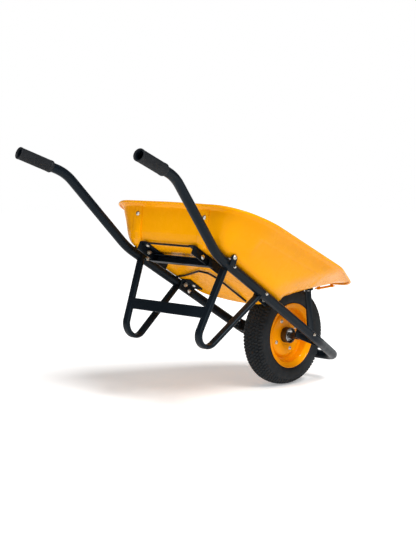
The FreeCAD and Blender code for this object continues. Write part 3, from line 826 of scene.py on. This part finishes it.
BOLT_NODES = ["leg_bolts", "stay_bolts", "strap_bolts", "lug_bolts", "tab_bolts", "rail_bolts", "strut_bolts",
              "rim_bolts"]
for node in BOLT_NODES:
    sets = []
    for points in clusters(node):
        cloud = np.array([tuple(p) for p in points])
        middle = cloud.mean(axis=0)
        axis = np.linalg.svd(cloud - middle, full_matrices=False)[2][0]
        along = (cloud - middle) @ axis
        spread = np.linalg.norm(cloud - middle - np.outer(along, axis), axis=1)
        lowest, highest = along.min(), along.max()
        low_end = spread[along < lowest + 0.5 * MM].max()
        high_end = spread[along > highest - 0.5 * MM].max()
        if low_end < high_end:
            axis, along = -axis, -along
            lowest, highest = along.min(), along.max()
        ring = cloud[along < lowest + 0.2 * MM]
        centre = ring.mean(axis=0)
        exact = cloud[along > highest - 0.2 * MM].mean(axis=0) - centre
        direction = Vector(exact).normalized()
        seat = Vector(centre) + direction * HEAD_HEIGHT
        length = Vector(exact).length - HEAD_HEIGHT
        head_radius = np.linalg.norm(ring - centre, axis=1).max()
        nut_start = length - SHANK_PAST_NUT_SEAT
        sets.append(bolt_set(seat, direction, nut_start, length, head_radius / HEAD_RADIUS))
    verts, faces = join_sets(sets)
    sharpen(outward(piece(node + "_detailed", verts, faces, node)), 28)

# ---------------------------------------------------------------- plates and small parts

PLATES = ["leg_brace", "seat_strap_left", "seat_strap_right", "rear_cross_member"]
for pair in ("front_tab", "pan_lug", "rear_stay", "axle_bracket", "strut", "nose_brace"):
    PLATES += [pair + "_" + side_name for side_name, side in SIDES]
for node in PLATES:
    worked(node, 1.0)
for node in ("axle", "axle_spacers", "axle_sleeves", "axle_inner_nuts", "axle_washers", "axle_outer_nuts",
             "bearing_left", "bearing_right", "valve_stem", "valve_cap", "rear_tie_rod", "underbody_rod"):
    worked(node, 0.5)

# ---------------------------------------------------------------- floor, light, camera

# The photo's barrow is tipped about its wheel. The model stays level, so the floor leans instead and
# touches the tyre. From below the floor is clear, since a view from the front stands under it.

TIP = math.radians(21.283)
WHEEL_RADIUS = 0.18
FLOOR_GAP = 0.0008
CAMERA_LENS = 84.55
CAMERA_LOOK = Vector((0.7008, 0.6961, 0.1561))
CAMERA_PLACE = Vector((AXLE.x - 3.55318, -3.08385, -0.43125))
tilted_up = Vector((-math.sin(TIP), 0, math.cos(TIP)))
contact = AXLE - tilted_up * WHEEL_RADIUS
floor_mesh = bpy.data.meshes.new("studio_floor")
along = Vector((math.cos(TIP), 0, math.sin(TIP)))
reach = 9.0
corners = [contact - tilted_up * FLOOR_GAP + along * a * reach + wheel_axis * b * reach
           for a, b in ((-1, -1), (1, -1), (1, 1), (-1, 1))]
floor_mesh.from_pydata([tuple(c) for c in corners], [], [(0, 1, 2, 3)])
floor_obj = bpy.data.objects.new("studio_floor", floor_mesh)
bpy.context.scene.collection.objects.link(floor_obj)
floor_mat = bpy.data.materials.new("studio_floor")
floor_mat.use_nodes = True
nodes, links = floor_mat.node_tree.nodes, floor_mat.node_tree.links
surface = nodes["Principled BSDF"]
surface.inputs["Base Color"].default_value = (0.93, 0.93, 0.93, 1)
surface.inputs["Roughness"].default_value = 0.9
surface.inputs["Specular IOR Level"].default_value = 0.1
surface.inputs["Emission Color"].default_value = (1, 1, 1, 1)
surface.inputs["Emission Strength"].default_value = 0.32
clear = nodes.new("ShaderNodeBsdfTransparent")
switch = nodes.new("ShaderNodeMixShader")
geometry = nodes.new("ShaderNodeNewGeometry")
links.new(geometry.outputs["Backfacing"], switch.inputs["Fac"])
links.new(surface.outputs["BSDF"], switch.inputs[1])
links.new(clear.outputs["BSDF"], switch.inputs[2])
links.new(switch.outputs["Shader"], nodes["Material Output"].inputs["Surface"])
floor_mesh.materials.append(floor_mat)

world = bpy.data.worlds.new("studio")
bpy.context.scene.world = world
world.use_nodes = True
nodes, links = world.node_tree.nodes, world.node_tree.links
background = nodes["Background"]
path = nodes.new("ShaderNodeLightPath")
amount = nodes.new("ShaderNodeMapRange")
amount.inputs["To Min"].default_value = 0.12
amount.inputs["To Max"].default_value = 1.0
links.new(path.outputs["Is Camera Ray"], amount.inputs["Value"])
links.new(amount.outputs["Result"], background.inputs["Strength"])
background.inputs["Color"].default_value = (1, 1, 1, 1)


def softbox(name, place, target, width, height, watts):
    data = bpy.data.lights.new(name, "AREA")
    data.shape = "RECTANGLE"
    data.size, data.size_y = width, height
    data.energy = watts
    obj = bpy.data.objects.new(name, data)
    obj.location = place
    obj.rotation_euler = (Vector(target) - Vector(place)).to_track_quat("-Z", "Y").to_euler()
    bpy.context.scene.collection.objects.link(obj)


focus = Vector((0.0, 0.0, 0.28))
sun_data = bpy.data.lights.new("key", "SUN")
sun_data.energy = 3.0
sun_data.angle = math.radians(28)
sun = bpy.data.objects.new("key", sun_data)
sun.rotation_euler = Vector((0.45, 0.80, -0.95)).to_track_quat("-Z", "Y").to_euler()
bpy.context.scene.collection.objects.link(sun)
softbox("side", focus + Vector((-1.4, -3.0, 0.9)), focus, 2.4, 1.4, 8)
softbox("rear", focus + Vector((-3.4, -0.7, 0.1)), focus, 1.6, 1.2, 30)
softbox("back", focus + Vector((2.4, 2.0, 1.6)), focus, 1.5, 1.5, 14)

camera_data = bpy.data.cameras.new("camera")
camera = bpy.data.objects.new("camera", camera_data)
bpy.context.scene.collection.objects.link(camera)
bpy.context.scene.camera = camera
camera_data.sensor_width = 36.0
camera_data.lens = CAMERA_LENS
camera_data.clip_end = 60.0
look = CAMERA_LOOK.normalized()
right = look.cross(tilted_up).normalized()
above = right.cross(look)
camera.matrix_world = Matrix((
    (right.x, above.x, -look.x, CAMERA_PLACE.x),
    (right.y, above.y, -look.y, CAMERA_PLACE.y),
    (right.z, above.z, -look.z, CAMERA_PLACE.z),
    (0, 0, 0, 1)))
bpy.context.scene.view_settings.view_transform = "Standard"
